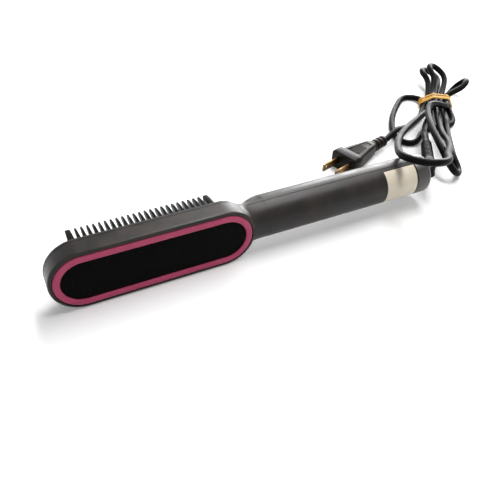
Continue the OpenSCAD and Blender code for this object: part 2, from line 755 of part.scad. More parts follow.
lead_path = concat([boot_end, boot_end + 6 * boot_dir], [for (p = lead_points) on_table(p)]);
plug_start = [plug_end.x, plug_end.y, plug_z];
plug_dir = [cos(plug_turn), sin(plug_turn), 0];
tail_path = concat([for (p = tail_points) on_table(p)], [plug_start - cord_d * plug_dir, plug_start]);

module cord_lead() color("#181717") tube(lead_path, cord_d, 8);

module cord_hank() {
    echo(hank_least_gap = least_gap(hank_path, cord_d));
    color("#181717") tube(hank_path, cord_d, 6);
}

module cord_tail() {
    echo(tail_least_gap = least_gap(tail_path, cord_d));
    color("#181717") tube(tail_path, cord_d, 8);
}

// The band's outline round the tied strands
module band_outline(more) {
    hull() for (strand = [low(0), low(4), high(1), high(3)])
        translate(strand) circle(cord_d / 2 + more, $fn = 32);
}

module cord_band() color("#c0862c")
    translate([hank_x, hank_y, 0]) rotate([0, 0, hank_turn]) rotate([90, 0, 90]) mirror([1, 0, 0])
        translate([0, 0, -band_w / 2]) linear_extrude(band_w) difference() {
            band_outline(band_slack + band_t);
            band_outline(band_slack);
        }

module plug_frame() {
    translate(plug_start) rotate([0, 0, plug_turn]) children();
}

// A section of the plug: a rounded rectangle, as a thin slice
module plug_slice(x, w, h, edge) {
    along_x(x, x + plug_slice_t) hull() for (y = [-1, 1]) for (z = [-1, 1])
        translate([y * (w / 2 - edge), z * (h / 2 - edge)]) circle(edge, $fn = 32);
}

module plug_body() color("#23201f") plug_frame() {
    flange_from = plug_boot_l + plug_body_l;
    x_cylinder(0, plug_boot_l + over, plug_core_r);
    for (i = [0:plug_ribs - 1])
        x_cylinder(over + i * plug_boot_l / plug_ribs, over + i * plug_boot_l / plug_ribs + plug_rib_w, plug_rib_r);
    hull() {
        plug_slice(plug_boot_l, plug_neck_w, plug_neck_w, plug_neck_w / 2 - fit_gap);
        plug_slice(flange_from - plug_slice_t, plug_flange_w - 2 * plug_step, plug_flange_h - 2 * plug_step, plug_step);
    }
    hull() {
        plug_slice(flange_from - rest_gap, plug_flange_w, plug_flange_h, plug_flange_edge);
        plug_slice(flange_from + plug_flange_l - plug_slice_t, plug_flange_w, plug_flange_h, plug_flange_edge);
    }
}

module plug_blades() color("#a98546") plug_frame() for (side = [-1, 1])
    translate([plug_boot_l + plug_body_l + plug_flange_l, side * blade_pitch / 2, 0]) difference() {
        translate([0, -blade_t / 2, -blade_w / 2]) cube([blade_l, blade_t, blade_w]);
        translate([blade_l - blade_hole_in, 0, 0]) y_cylinder(-over - blade_t, over + blade_t, blade_hole_r);
    }

back_shell();
front_shell();
comb_frame();
heating_plate();
ptc_heaters();
heater_clamp();
insulator_sheet();
thermal_fuse();
trim_ring();
back_panel();
indicator_lens();
control_board();
tact_switches();
status_leds();
housing_screws();
board_screws();
heater_leads();
mains_leads();
end_cap();
contact_carrier();
contact_springs();
power_button();
power_plunger();
temp_button();
temp_plunger();
swivel_knuckle();
swivel_retainer();
contact_rings();
pivot_pin();
strain_relief();
cord_lead();
cord_hank();
cord_tail();
cord_band();
plug_body();
plug_blades();
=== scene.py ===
# Hair straightening brush lying on its long side, with its cord folded up and tied behind the handle
import bpy, bmesh, json, math
from mathutils import Matrix, Vector

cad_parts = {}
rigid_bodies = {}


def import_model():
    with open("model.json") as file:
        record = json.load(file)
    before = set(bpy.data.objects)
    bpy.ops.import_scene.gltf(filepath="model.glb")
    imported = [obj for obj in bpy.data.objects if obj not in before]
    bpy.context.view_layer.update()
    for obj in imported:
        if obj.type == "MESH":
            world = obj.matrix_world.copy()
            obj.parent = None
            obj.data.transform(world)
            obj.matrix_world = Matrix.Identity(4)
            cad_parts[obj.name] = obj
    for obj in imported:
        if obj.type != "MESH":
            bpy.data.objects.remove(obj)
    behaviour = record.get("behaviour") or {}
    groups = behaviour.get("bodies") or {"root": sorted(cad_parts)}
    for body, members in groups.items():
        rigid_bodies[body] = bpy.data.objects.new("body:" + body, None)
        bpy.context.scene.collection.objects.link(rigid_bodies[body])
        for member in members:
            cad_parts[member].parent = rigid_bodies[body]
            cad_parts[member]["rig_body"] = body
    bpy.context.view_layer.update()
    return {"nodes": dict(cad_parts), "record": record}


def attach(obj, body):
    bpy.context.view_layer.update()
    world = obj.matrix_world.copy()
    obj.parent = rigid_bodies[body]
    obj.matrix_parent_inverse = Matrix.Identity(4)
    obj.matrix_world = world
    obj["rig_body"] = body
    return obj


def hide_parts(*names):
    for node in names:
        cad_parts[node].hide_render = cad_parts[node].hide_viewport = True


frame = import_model()
nodes = frame["nodes"]
mm = 0.001  # Blender works in metres; the sizes of the pieces below are in millimetres
print("frame loaded:", len(nodes), "nodes")


def addObject(name, data):
    thing = bpy.data.objects.new(name, data)
    bpy.context.scene.collection.objects.link(thing)
    return thing


# Camera: the photograph's viewing angle, from in front of the head and well above it
cameraView = {"place": (-152.5, -276.2, 266.9), "yaw": 27.33, "pitch": 41.37, "roll": 2.3,
              "focalPixels": 574.1, "framePixels": 500, "sensor": 36, "clip": (0.01, 20)}


def makeCamera(view):
    yaw, pitch, roll = (math.radians(view[name]) for name in ("yaw", "pitch", "roll"))
    ahead = Vector((math.sin(yaw) * math.cos(pitch), math.cos(yaw) * math.cos(pitch), -math.sin(pitch)))
    level = Vector((math.cos(yaw), -math.sin(yaw), 0))
    over = level.cross(ahead)
    right = math.cos(roll) * level + math.sin(roll) * over
    up = math.cos(roll) * over - math.sin(roll) * level
    data = bpy.data.cameras.new("camera")
    data.sensor_width = view["sensor"]
    data.lens = view["sensor"] * view["focalPixels"] / view["framePixels"]
    data.clip_start, data.clip_end = view["clip"]
    camera = addObject("camera", data)
    turn = Matrix((right, up, -ahead)).transposed().to_4x4()
    camera.matrix_world = Matrix.Translation(Vector(view["place"]) * mm) @ turn
    bpy.context.scene.camera = camera


makeCamera(cameraView)
print("camera set")


# The cord's route, from the strain relief through the tied loops to the plug. Its points are (along the tied
# strands, across them, height above the table), measured from the middle of the rubber band. A loop leaves
# the band on one strand and comes back on another: middle, span and head are its fold's middle, half width
# and direction, a pull is how far each end keeps its direction, and via is a place and direction on the way
cordRoute = {
    "diameter": 5.6, "step": 1.2, "relaxRounds": 6, "splineSteps": 12, "legSteps": 24, "foldSteps": 18,
    "bundlePlace": (250, 109), "bundleTurn": 57, "strandPitch": 6.1, "lowZ": 4, "highZ": 9.3, "bandHalf": 8,
    "pivot": (144.7, 0, 22.1), "bootTilt": 53, "bootRoll": 6, "bootLength": 50, "exitSteps": (-8, -2, 6),
    "plugEnd": (153.9, 68.8, 8.1), "plugTurn": 198,
    "lead": [(-86, -24.3, 16.3), (-76, -23, 12.5), (-66, -21.5, 9.5), (-56, -19.5, 9), (-46, -17, 9),
             (-37, -14.5, 6.5), (-28, -12, 5), (-20, -10.5, 4), (-8, -9.15, 4)],
    "loops": [
        {"side": 1, "strands": (("low", 1), ("low", 2)),
         "middle": (54, -3, 9.5), "span": (-7.5, -7.5, 3.6), "head": (1, 0, 0),
         "pullIn": (40, 29), "pullOut": (47, 29)},
        {"side": -1, "strands": (("low", 2), ("high", 1)),
         "middle": (-163, -39, 43), "span": (0, 18, 0), "head": (-1, 0, 0.3), "depth": 1.2,
         "pullIn": (15, 41, 27, 69), "pullOut": (42, 230), "viaIn": ((-82, -7.5, 15.5), (-0.8, 0.2, 0.1))},
        {"side": 1, "strands": (("high", 1), ("low", 3)),
         "middle": (46.5, 1.5, 16.5), "span": (-7.5, -7.5, 3.8), "head": (1, 0, 0.1),
         "pullIn": (37, 30), "pullOut": (40, 30)},
        {"side": -1, "strands": (("low", 3), ("high", 3)),
         "middle": (-117, -4.7, 12), "span": (8.8, 5.3, -4.8), "head": (-1, 0, -0.1),
         "pullIn": (47, 21, 33, 25), "pullOut": (29, 66, 34, 52),
         "viaIn": ((-46, 0.5, 8.8), (-1, 0, -0.2)), "viaOut": ((-35, -16, 20), (-1, -0.4, -0.1))},
        {"side": 1, "strands": (("high", 3), ("low", 4)),
         "middle": (26, 20, 11), "span": (-9, 2.7, 6.4), "head": (0.8, 0.4, 0.2),
         "pullIn": (10.5, 8.5), "pullOut": (11.5, 19)}],
    "tail": [(-8, 9.15, 4), (-17, 10.4, 3.2), (-26, 10.8, 2.8), (-35, 8, 2.8), (-41, 1, 2.8), (-45, -8, 2.8),
             (-51, -17, 2.8), (-60, -22.5, 2.8), (-70, -26, 2.8), (-77, -32, 2.8), (-76, -40, 2.8),
             (-68, -46, 2.8), (-54, -48, 2.8), (-38, -47.5, 2.8), (-20, -44.5, 2.8), (-5, -40.5, 2.8),
             (6, -37, 2.8), (12.5, -32.5, 2.8), (14.5, -26, 2.8), (13, -20, 3.2), (9, -16.4, 3.8),
             (3.5, -15.25, 4), (-8, -15.4, 4), (-24, -20, 2.8), (-36, -26, 2.8), (-48, -33, 3.2),
             (-57, -39, 6.2), (-66, -45.5, 9.2), (-73, -49.5, 9.2)]}


def ease(t):
    t = min(max(t, 0), 1)
    return t * t * (3 - 2 * t)


def onTable(u, v, z):  # u runs along the tied strands and v across them
    turn = math.radians(cordRoute["bundleTurn"])
    x0, y0 = cordRoute["bundlePlace"]
    x, y = x0 + u * math.cos(turn) + v * math.sin(turn), y0 + u * math.sin(turn) - v * math.cos(turn)
    return Vector((x, y, z))


def strand(layer, i):  # how far across and how high a strand lies in the band
    if layer == "low":
        return (i - 2.5) * cordRoute["strandPitch"], cordRoute["lowZ"]
    return (i - 2) * cordRoute["strandPitch"], cordRoute["highZ"]


def bend(start, end, leave, arrive, steps):  # leaves one point and reaches another in given directions
    line = []
    for i in range(steps + 1):
        t = i / steps
        line.append(start * (1 - ease(t)) + end * ease(t)
                    + leave * t * (1 - t) ** 2 - arrive * t * t * (1 - t))
    return line


def leg(start, way, end, arrive, pull, via):  # from the band to a fold, by way of a point if one is given
    if via is None:
        return bend(start, end, pull[0] * way, pull[1] * arrive, cordRoute["legSteps"])
    place, on, half = Vector(via[0]), Vector(via[1]).normalized(), cordRoute["legSteps"] // 2
    first = bend(start, place, pull[0] * way, pull[2] * on, half)
    return first + bend(place, end, pull[3] * on, pull[1] * arrive, half)[1:]


def loop(side, strands, middle, span, head, pullIn, pullOut, depth=1, viaIn=None, viaOut=None):
    way, middle, span, head = Vector((side, 0, 0)), Vector(middle), Vector(span), Vector(head)
    out = (head - head.dot(span) / span.dot(span) * span).normalized()
    start, end = (Vector((side * cordRoute["bandHalf"], *strand(*name))) for name in strands)
    line = leg(start, way, middle + span, out, pullIn, viaIn)
    turns = cordRoute["foldSteps"]
    for i in range(1, turns + 1):
        a = math.pi * i / (turns + 1)
        line.append(middle + math.cos(a) * span + depth * span.length * math.sin(a) * out)
    return line + leg(end, way, middle - span, out, pullOut, viaOut)[::-1]


def catmull(points, steps):  # a smooth line through given points
    line = []
    for i in range(1, len(points) - 2):
        a, b, c, d = points[i - 1:i + 3]
        for k in range(steps):
            t = k / steps
            line.append(0.5 * (2 * b + (c - a) * t + (2 * a - 5 * b + 4 * c - d) * t * t
                               + (3 * b - a - 3 * c + d) * t ** 3))
    return line + [points[-2]]


def evenly(points, step):  # the same line with its points a step apart
    line, carried = [points[0]], 0
    for a, b in zip(points, points[1:]):
        span = (b - a).length
        while carried + span >= step:
            a = a + (b - a) * ((step - carried) / span)
            line.append(a)
            span, carried = (b - a).length, 0
        carried += span
    return line + ([points[-1]] if carried > step / 2 else [])


def bootDirection():  # the strain relief's direction, away from its pin
    tilt, roll = math.radians(cordRoute["bootTilt"]), math.radians(cordRoute["bootRoll"])
    return Vector((math.cos(tilt), math.sin(tilt) * math.cos(roll), -math.sin(tilt) * math.sin(roll)))


def cordLine():
    bootWay = bootDirection()
    bootEnd = Vector(cordRoute["pivot"]) + cordRoute["bootLength"] * bootWay
    turn = math.radians(cordRoute["plugTurn"])
    plugEnd, plugWay = Vector(cordRoute["plugEnd"]), Vector((math.cos(turn), math.sin(turn), 0))
    half, steps = cordRoute["bandHalf"], cordRoute["splineSteps"]
    lead = [bootEnd + s * bootWay for s in cordRoute["exitSteps"]]
    lead += [onTable(*p) for p in cordRoute["lead"]] + [onTable(u, *strand("low", 1)) for u in (0, half)]
    loops = [onTable(*p) for values in cordRoute["loops"] for p in loop(**values)]
    tail = [onTable(u, *strand("low", 4)) for u in (half, 0)] + [onTable(*p) for p in cordRoute["tail"]]
    tail += [plugEnd + s * cordRoute["diameter"] * plugWay for s in (-1, 0, 1)]
    line = catmull(lead, steps) + loops + catmull(tail, steps)
    for place in line:  # nothing of it lies below the table
        place.z = max(place.z, cordRoute["diameter"] / 2)
    line = evenly(line, cordRoute["step"])
    for i in range(cordRoute["relaxRounds"]):  # its stiffness eases the sharpest turns
        line[1:-1] = [a / 4 + b / 2 + c / 4 for a, b, c in zip(line, line[1:], line[2:])]
    return line


def makeCord():
    line = cordLine()
    data = bpy.data.curves.new("powerCord", "CURVE")
    data.dimensions = "3D"
    data.bevel_depth = cordRoute["diameter"] / 2 * mm
    data.bevel_resolution = 4
    data.use_fill_caps = True
    data.twist_mode = "MINIMUM"
    spline = data.splines.new("POLY")
    spline.points.add(len(line) - 1)
    for point, place in zip(spline.points, line):
        point.co = (*(place * mm), 1)
    spline.use_smooth = True
    length = sum((b - a).length for a, b in zip(line, line[1:])) * mm
    print("cord of", round(length, 3), "m through", len(line), "points")
    return addObject("powerCord", data), length


cord, cordLength = makeCord()


# Materials
def linear(colour):  # sRGB hex to linear
    parts = [int(colour[i:i + 2], 16) / 255 for i in (1, 3, 5)]
    return tuple(c / 12.92 if c <= 0.04045 else ((c + 0.055) / 1.055) ** 2.4 for c in parts) + (1,)


def addNode(owner, kind, settings=(), links=()):  # the owner is a material or the world
    node = owner.node_tree.nodes.new(kind)
    for name, value in dict(settings).items():
        if isinstance(name, int) or name in node.inputs:
            node.inputs[name].default_value = value
        else:
            setattr(node, name, value)
    for name, source in dict(links).items():
        owner.node_tree.links.new(source, node.inputs[name])
    return node


def startMaterial(name, settings):  # a Principled shader with its constants on its own sockets
    material = bpy.data.materials.new(name)
    material.use_nodes = True
    shader = material.node_tree.nodes["Principled BSDF"]
    for socket, value in settings.items():
        shader.inputs[socket].default_value = linear(value) if isinstance(value, str) else value
    return material, shader


def feed(material, shader, sources):  # links each source to the shader's socket of that name
    for socket, source in sources.items():
        material.node_tree.links.new(source, shader.inputs[socket])


# Patterns in cells to the metre: rubbed patches of 18 mm, tarnish of 6 mm, drawing lines of 1 mm, and lint
# 2.4 mm apart. A span is the part of a pattern's values in which the look changes. Relief is in metres
patterns = {"rubbed": 55, "rubbedSpan": (0.42, 0.72), "dullSpan": (0.3, 0.7),
            "tarnish": 160, "tarnishSpan": (0.38, 0.62), "drawn": 900, "drawnGloss": (0.08, 0.12),
            "lint": 420, "lintSpan": (0.06, 0.15), "lintCover": 0.3,
            "grainRelief": 0.0002, "drawnRelief": 0.0001, "drawnDepth": 0.15}


def mouldedFinish(name, colour, worn, roughness, grain, depth, specular=0.5, smudge=0.07):
    # Plastic, rubber, film or ceramic: a fine grain, and paler, duller patches where it has been rubbed
    material, shader = startMaterial(name, {"Base Color": colour, "Roughness": roughness,
                                            "Specular IOR Level": specular})
    place = addNode(material, "ShaderNodeTexCoord").outputs["Object"]
    rubbed = addNode(material, "ShaderNodeTexNoise",
                     {"Scale": patterns["rubbed"], "Detail": 5, "Roughness": 0.6}, {"Vector": place})
    ramp = addNode(material, "ShaderNodeValToRGB", {}, {"Fac": rubbed.outputs["Fac"]})
    new, old = ramp.color_ramp.elements
    new.position, old.position = patterns["rubbedSpan"]
    new.color, old.color = linear(colour), linear(worn)
    rough = addNode(material, "ShaderNodeMapRange",
                    {"From Min": patterns["dullSpan"][0], "From Max": patterns["dullSpan"][1],
                     "To Min": roughness - smudge, "To Max": roughness + smudge},
                    {"Value": rubbed.outputs["Fac"]})
    speckle = addNode(material, "ShaderNodeTexNoise", {"Scale": 1 / (grain * mm), "Detail": 2},
                      {"Vector": place})
    bump = addNode(material, "ShaderNodeBump", {"Strength": depth, "Distance": patterns["grainRelief"]},
                   {"Height": speckle.outputs["Fac"]})
    feed(material, shader, {"Base Color": ramp.outputs["Color"], "Roughness": rough.outputs["Result"],
                            "Normal": bump.outputs["Normal"]})
    return material


def metalFinish(name, colour, tarnish, roughness, brushed):
    # Plated or drawn metal: fine lines in the gloss, and darker patches where it has been handled
    material, shader = startMaterial(name, {"Base Color": colour, "Metallic": 1.0, "Roughness": roughness})
    place = addNode(material, "ShaderNodeTexCoord").outputs["Object"]
    patch = addNode(material, "ShaderNodeTexNoise", {"Scale": patterns["tarnish"], "Detail": 4},
                    {"Vector": place})
    ramp = addNode(material, "ShaderNodeValToRGB", {}, {"Fac": patch.outputs["Fac"]})
    dull, bright = ramp.color_ramp.elements
    dull.position, bright.position = patterns["tarnishSpan"]
    dull.color, bright.color = linear(tarnish), linear(colour)
    stretch = addNode(material, "ShaderNodeMapping", {"Scale": brushed}, {"Vector": place})
    drawn = addNode(material, "ShaderNodeTexNoise", {"Scale": patterns["drawn"], "Detail": 3},
                    {"Vector": stretch.outputs["Vector"]})
    glossier, duller = patterns["drawnGloss"]
    rough = addNode(material, "ShaderNodeMapRange",
                    {"To Min": roughness - glossier, "To Max": roughness + duller},
                    {"Value": drawn.outputs["Fac"]})
    bump = addNode(material, "ShaderNodeBump",
                   {"Strength": patterns["drawnDepth"], "Distance": patterns["drawnRelief"]},
                   {"Height": drawn.outputs["Fac"]})
    feed(material, shader, {"Base Color": ramp.outputs["Color"], "Roughness": rough.outputs["Result"],
                            "Normal": bump.outputs["Normal"]})
    return material


# Each row: name, colour, rubbed colour, roughness, grain in mm and its depth. Some add a specular level of
# their own, and how much the roughness varies
# ABS from a spark-eroded mould: a soft sheen, browner where hands rub it
shellAbs = mouldedFinish("warmBlackAbs", "#120f0e", "#261c16", 0.37, 0.35, 0.25, 0.27, 0.12)
# The same ABS coloured grey, for the end cap and the switch cases
capAbs = mouldedFinish("capAbs", "#3a3735", "#45413e", 0.36, 0.35, 0.2, 0.5)
# Nylon moulded smooth: small glints along the fins
finNylon = mouldedFinish("glossyBlackNylon", "#060505", "#0b0a0a", 0.38, 0.6, 0.08, 0.07)
# Matt textured inlay: next to no shine
panelAbs = mouldedFinish("mattBlackInlay", "#030303", "#070606", 0.8, 0.5, 0.5, 0.05)
# Lacquer sprayed on ABS: an even satin rose
rosePaint = mouldedFinish("roseLacquer", "#ab4062", "#b54a6b", 0.42, 0.3, 0.1, 0.2)
# Extruded soft PVC: a narrow shine along the cord
cordPvc = mouldedFinish("glossyCordPvc", "#070606", "#0e0c0c", 0.42, 0.8, 0.08, 0.05)
# Moulded PVC of the plug, browner than the cord
plugPvc = mouldedFinish("plugPvc", "#13100d", "#1f1915", 0.38, 0.4, 0.3, 0.11)
# Natural rubber: dusty ochre, with hardly any shine
bandRubber = mouldedFinish("ochreRubber", "#c8922e", "#d8a850", 0.55, 0.5, 0.3, 0.3)
# Coated label film: smooth cream with a slight gloss
labelPaper = mouldedFinish("creamLabelFilm", "#cfc5b2", "#dad1bf", 0.4, 0.6, 0.1, 0.35)
# White ABS of the contact carrier and the lights
whiteAbs = mouldedFinish("whiteAbs", "#e4e1da", "#eceae4", 0.45, 0.4, 0.1)
# Varnished glass fibre of the circuit board: a flat glossy green
boardFibre = mouldedFinish("greenFibreglass", "#2f6b45", "#377a50", 0.4, 0.4, 0.1)
# Silicone on the heater leads: a bright, slightly soft red
redSleeve = mouldedFinish("redSilicone", "#a8352a", "#b8453a", 0.45, 0.4, 0.1)
# PVC on the mains leads: plain brown with a low shine
brownSleeve = mouldedFinish("brownPvc", "#6b4126", "#7a4d2f", 0.45, 0.4, 0.1)
# Pressed mica: mottled tan in thin flakes
micaSheet = mouldedFinish("micaSheet", "#c3b285", "#d2c398", 0.5, 0.9, 0.3)
# Fired ceramic: dry and off-white
heaterCeramic = mouldedFinish("heaterCeramic", "#d8d2c4", "#e3ded2", 0.6, 0.5, 0.3)
# Frosted polycarbonate: a pale green-grey lens
lensPc = mouldedFinish("frostedLens", "#b8cdc8", "#c6d8d4", 0.3, 0.6, 0.05)

# Each row: name, colour, tarnished colour, roughness, and how much the lines are squeezed along X, Y and Z
# Zinc plating: pale grey with darker spots
steel = metalFinish("zincPlatedSteel", "#a9abad", "#8e8f8e", 0.35, (1, 1, 1))
# Drawn brass: worn brown, with fine lines that run nearly along the blades
brass = metalFinish("wornBrass", "#96754c", "#5f4a33", 0.38, (1, 6, 6))
# Coated aluminium: mid grey, with faint lines along the plate
coatedPlate = metalFinish("coatedAluminium", "#6f6e6c", "#5e5c59", 0.42, (1, 1, 8))

slotLooks = {"shell": shellAbs, "cap_shell": capAbs, "fin_plastic": finNylon, "heated_metal": coatedPlate,
             "ceramic": heaterCeramic, "steel": steel, "mica": micaSheet, "fuse": heaterCeramic,
             "rose_trim": rosePaint, "black_panel": panelAbs, "clear_lens": lensPc,
             "circuit_board": boardFibre, "switch_black": capAbs, "led": whiteAbs, "red_wire": redSleeve,
             "brown_wire": brownSleeve, "carrier": whiteAbs, "brass": brass, "white_plastic": whiteAbs,
             "cord_black": cordPvc, "rubber_band": bandRubber, "plug_black": plugPvc}


def fleckInlay(material):  # sparse pale lint on the matt inlay, drawn a little coarse so that it shows
    shader = material.node_tree.nodes["Principled BSDF"]
    place = addNode(material, "ShaderNodeTexCoord")
    cells = addNode(material, "ShaderNodeTexVoronoi", {"Scale": patterns["lint"]},
                    {"Vector": place.outputs["Object"]})
    dots = addNode(material, "ShaderNodeMapRange",
                   {"From Min": patterns["lintSpan"][0], "From Max": patterns["lintSpan"][1],
                    "To Min": patterns["lintCover"], "To Max": 0},
                   {"Value": cells.outputs["Distance"]})
    lint = addNode(material, "ShaderNodeMix", {"data_type": "RGBA", 7: linear("#4a4542")},
                   {0: dots.outputs["Result"], 6: shader.inputs["Base Color"].links[0].from_socket})
    feed(material, shader, {"Base Color": lint.outputs[2]})


def dressNodes():  # every CAD node takes the look of its slot in the record
    for part in frame["record"]["subparts"]:
        mesh = nodes[part["node"]].data
        mesh.materials.clear()
        mesh.materials.append(slotLooks[part["material_slot"]])


dressNodes()
fleckInlay(panelAbs)
print("materials made")


# Shape helpers: shapes are drawn in millimetres, with Y and Z measured from the brush's own axis
def axisMatrix(x, y, z, turn=0, about="X"):
    return Matrix.Translation((x, y, brush["axisZ"] + z)) @ Matrix.Rotation(math.radians(turn), 4, about)


def roundEdges(shape, edges, size, segments):
    bmesh.ops.bevel(shape, geom=edges, offset=size, offset_type="OFFSET", segments=segments, profile=0.5,
                    affect="EDGES", material=-1)


def slab(radius, low, high, lip=0, rim=0):  # a stadium across Y, with its low and high edges rounded
    shape, segments = bmesh.new(), brush["slabSegments"]
    bmesh.ops.create_circle(shape, cap_ends=True, segments=segments, radius=radius)
    halfStep = Matrix.Rotation(math.pi / segments, 3, "Z")
    bmesh.ops.rotate(shape, cent=(0, 0, 0), matrix=halfStep, verts=shape.verts)
    for vert in shape.verts:
        vert.co.x += math.copysign(brush["headRun"] / 2, vert.co.x)
    bmesh.ops.transform(shape, matrix=axisMatrix(brush["headX"], low, 0, 90), verts=shape.verts)
    lid = bmesh.ops.extrude_face_region(shape, geom=shape.faces[:])["geom"]
    lifted = [part for part in lid if isinstance(part, bmesh.types.BMVert)]
    bmesh.ops.translate(shape, vec=(0, high - low, 0), verts=lifted)
    for level, size in ((low, lip), (high, rim)):
        if size:
            edges = [edge for edge in shape.edges
                     if all(abs(vert.co.y - level) < 0.001 for vert in edge.verts)]
            roundEdges(shape, edges, size, segments=6)
    return shape


def rod(radius, length, segments, matrix):  # a round bar along the matrix's Z
    shape = bmesh.new()
    bmesh.ops.create_cone(shape, cap_ends=True, segments=segments, radius1=radius, radius2=radius,
                          depth=length, matrix=matrix)
    return shape


def bar(start, end, radius, y=0):  # a round bar along X
    return rod(radius, end - start, 128, axisMatrix((start + end) / 2, y, 0, 90, "Y"))


def post(x, z, low, high, radius, segments=64):  # a round bar along Y
    return rod(radius, high - low, segments, axisMatrix(x, (low + high) / 2, z, 90))


def block(low, high):
    shape = bmesh.new()
    middle, size = (Vector(low) + Vector(high)) / 2, Vector(high) - Vector(low)
    bmesh.ops.create_cube(shape, size=1, matrix=axisMatrix(*middle) @ Matrix.Diagonal((*size, 1)))
    return shape


def addBrick(shape, middle, size):  # a block of that size round a middle, for pieces that are placed later
    bmesh.ops.create_cube(shape, size=1, matrix=Matrix.Translation(middle) @ Matrix.Diagonal((*size, 1)))


def ring(shape, segments, matrix, form=None):  # one section of a loft, and its edges
    verts = bmesh.ops.create_circle(shape, segments=segments, radius=1)["verts"]
    edges = list(dict.fromkeys(edge for vert in verts for edge in vert.link_edges))
    if form:
        for vert in verts:
            vert.co = form(vert.co)
    bmesh.ops.transform(shape, matrix=matrix, verts=verts)
    return edges


def bridge(shape, rings):  # joins each section of a loft to the next
    for before, after in zip(rings, rings[1:]):
        bmesh.ops.bridge_loops(shape, edges=before + after)


def skin(shape, rings):  # a loft with both its ends closed
    bridge(shape, rings)
    for end in (rings[0], rings[-1]):
        bmesh.ops.contextual_create(shape, geom=end)
    bmesh.ops.recalc_face_normals(shape, faces=shape.faces[:])


def asObject(name, shape):
    data = bpy.data.meshes.new(name)
    bmesh.ops.recalc_face_normals(shape, faces=shape.faces[:])
    shape.to_mesh(data)
    shape.free()
    data.transform(Matrix.Scale(mm, 4))
    return addObject(name, data)


def settle(piece):  # its modifiers become its mesh
    data = bpy.data.meshes.new_from_object(piece.evaluated_get(bpy.context.evaluated_depsgraph_get()))
    piece.modifiers.clear()
    spare, piece.data = piece.data, data
    bpy.data.meshes.remove(spare)
    data.name = piece.name


def carve(piece, shapes, operation="DIFFERENCE"):
    tools = [asObject("tool", shape) for shape in shapes]
    for tool in tools:
        cut = piece.modifiers.new("cut", "BOOLEAN")
        cut.operation, cut.solver, cut.object = operation, "MANIFOLD", tool
    settle(piece)
    for tool in tools:
        bpy.data.objects.remove(tool)


def dress(piece, body, slotName, sharpAbove):  # edges over that many degrees stay crisp
    piece.data.materials.clear()
    piece.data.materials.append(slotLooks[slotName])
    piece.data.shade_smooth()
    piece.data.set_sharp_from_angle(angle=math.radians(sharpAbove))
    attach(piece, body)


# Shells: head, concave neck and handle are one smooth body, hollowed and parted
brush = {"axisZ": 22.1, "headX": -81.45, "headRun": 92.3, "headRadius": 22.1, "headBack": 14.6,
         "lip": 1.6, "rimY": 0.2, "rim": 0.4, "slabSegments": 128, "handleRadius": 14.8, "handleEnd": 121.85,
         "overlap": 0.5, "voxel": 0.6, "parting": -2.4, "seam": 0.2,
         "pocketRadius": 19.9, "pocketY": -13.4, "floorY": -11.3, "cavityRadius": 20.1,
         "boreFrom": -0.3, "boreRadius": 12.7, "channelRadius": 5, "channelY": -7, "through": 1, "clear": 2,
         "buttonHole": 4.95, "powerX": 14.7, "tempX": 30.7, "screwX": 57.05, "screwZ": 6, "screwHole": 2.4,
         "lensX": 48.7, "lensLength": 12, "lensWidth": 2.4,
         "ribs": (-32, 0, 32), "ribHalf": 0.8, "ribSunk": 0.2, "ribTop": -6.3, "ribReach": 10}
neck = {"from": 3.8, "shoulder": 10.5, "riseFrom": 11, "waist": 23, "to": 33, "rings": 24, "sides": 72,
        "inset": 0.1, "frontPower": 3.4, "backPower": 2.3, "smoothRounds": 60, "smoothFrom": 8,
        "smoothBy": 0.5, "lipKept": 2.2, "lipReach": 0.8, "roundWithin": 0.4}
headEnd = brush["headX"] + brush["headRun"] / 2  # the middle of the head's inner round end


def neckForm(s):  # the neck's section at s past the head's end
    end = brush["handleRadius"] - neck["inset"]
    half = math.sqrt(brush["headRadius"] ** 2 - neck["shoulder"] ** 2)
    pinch = max(0, (neck["waist"] - s) / (neck["waist"] - neck["shoulder"])) ** 2
    width = half if s < neck["shoulder"] else end + (half - end) * pinch
    low, deep = brush["rimY"] - neck["inset"], brush["headBack"] - neck["inset"]
    front = low + (end - low) * ease((s - neck["riseFrom"]) / (neck["to"] - neck["riseFrom"]))
    back = deep + (end - deep) * ease(s / neck["to"])
    square = ease((neck["to"] - s) / (neck["to"] - neck["shoulder"]))

    def form(place):
        power = 2 + ((neck["frontPower"] if place.x > 0 else neck["backPower"]) - 2) * square
        out, side = (math.copysign(abs(c) ** (2 / power), c) for c in (place.x, place.y))
        return Vector((0, out * (front if place.x > 0 else back), side * width))
    return form


def solidBrush():  # the outer form, closed, on one even grid
    head = slab(brush["headRadius"], -brush["headBack"], brush["rimY"], brush["lip"], brush["rim"])
    whole = asObject("shells", head)
    loft, count = bmesh.new(), neck["rings"]
    steps = [neck["from"] + i * (neck["to"] - neck["from"]) / (count - 1) for i in range(count)]
    skin(loft, [ring(loft, neck["sides"], axisMatrix(headEnd + s, 0, 0), neckForm(s)) for s in steps])
    grip = bar(headEnd + neck["to"] - brush["overlap"], brush["handleEnd"], brush["handleRadius"])
    carve(whole, [loft, grip], "UNION")
    grid = whole.modifiers.new("evenGrid", "REMESH")
    grid.mode, grid.voxel_size = "VOXEL", brush["voxel"] * mm
    settle(whole)
    return whole


